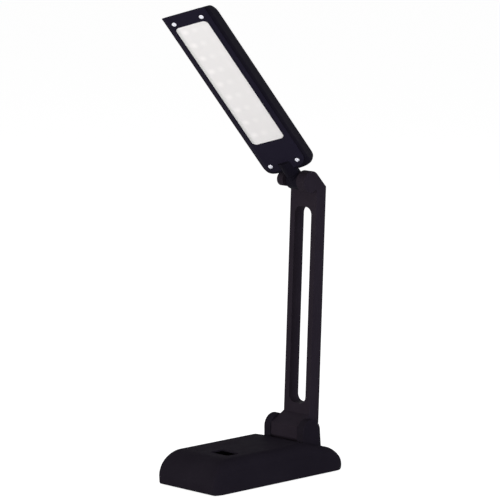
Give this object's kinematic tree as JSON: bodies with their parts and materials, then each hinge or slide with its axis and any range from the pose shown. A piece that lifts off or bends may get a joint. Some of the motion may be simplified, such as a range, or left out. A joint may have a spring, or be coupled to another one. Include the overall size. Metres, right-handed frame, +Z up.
{
  "type": "folding desk lamp",
  "caption": "Folding desk lamp with a low weighted base, a flat arm with a long slot, a neck that tilts and turns, and a slim flat light head.",
  "frame": {"origin": "centre of the base's outline, on the plane that the rubber feet stand on", "axes": "+Z up, -Y towards the front of the lamp, the hinge axes lie along X"},
  "size_m": [0.078, 0.1751, 0.4415],
  "materials": {
    "base_plastic": "satin moulded, near black",
    "arm_plastic": "satin moulded, near black",
    "head_plastic": "satin moulded, near black",
    "bezel_plastic": "smooth, near black with a faint blue tint",
    "cover_silver": "light grey satin",
    "diffuser_white": "translucent white",
    "rubber": "matt",
    "steel": "bright",
    "screw_bright": "bright",
    "pcb_green": "solder mask",
    "pcb_white": "white solder mask",
    "led_yellow": "phosphor",
    "button_black": "glossy black",
    "part_plastic": "plain moulded",
    "plunger_white": "plain moulded",
    "lead_red": "smooth sleeve"
  },
  "bodies": {
    "base": {"base_shell": "base_plastic", "base_cover": "part_plastic", "ballast_plate": "steel", "rubber_feet": "rubber", "base_screws": "steel", "switch_housing": "part_plastic", "control_board": "pcb_green", "board_screws": "steel", "socket_board": "pcb_green", "dc_socket": "part_plastic", "lower_hinge_pin": "steel", "lower_hinge_washers": "steel", "lower_pin_cap": "part_plastic"},
    "button": {"switch_button": "button_black", "switch_plunger": "plunger_white"},
    "arm": {"arm_front_shell": "arm_plastic", "arm_rear_shell": "arm_plastic", "arm_screws": "steel", "arm_lead": "lead_red", "upper_hinge_pin": "steel", "upper_hinge_washers": "steel", "upper_pin_cap": "part_plastic"},
    "neck": {"neck": "head_plastic", "swivel_clip": "steel"},
    "head": {"head_housing": "head_plastic", "head_back_cover": "cover_silver", "bezel": "bezel_plastic", "diffuser": "diffuser_white", "led_board": "pcb_white", "led_chips": "led_yellow", "bezel_screws": "screw_bright"}
  },
  "joints": [
    {"name": "arm_fold", "type": "hinge", "parent": "base", "child": "arm", "pos_m": [0, 0.0541, 0.0382], "axis": [1, 0, 0], "range_deg": [-20, 92.4]},
    {"name": "head_tilt", "type": "hinge", "parent": "arm", "child": "neck", "pos_m": [-0.0014, 0.06124, 0.2706], "axis": [-1, 0, 0], "range_deg": [-96, 45]},
    {"name": "head_swivel", "type": "hinge", "parent": "neck", "child": "head", "pos_m": [-0.0014, 0.06124, 0.2706], "axis": [0, -0.6547, 0.7559], "range_deg": [-115.7, 64.3]},
    {"name": "switch_press", "type": "slide", "parent": "base", "child": "button", "axis": [0, 0, -1], "range_m": [0, 0.0012], "stiffness_N_per_m": 600}
  ]
}
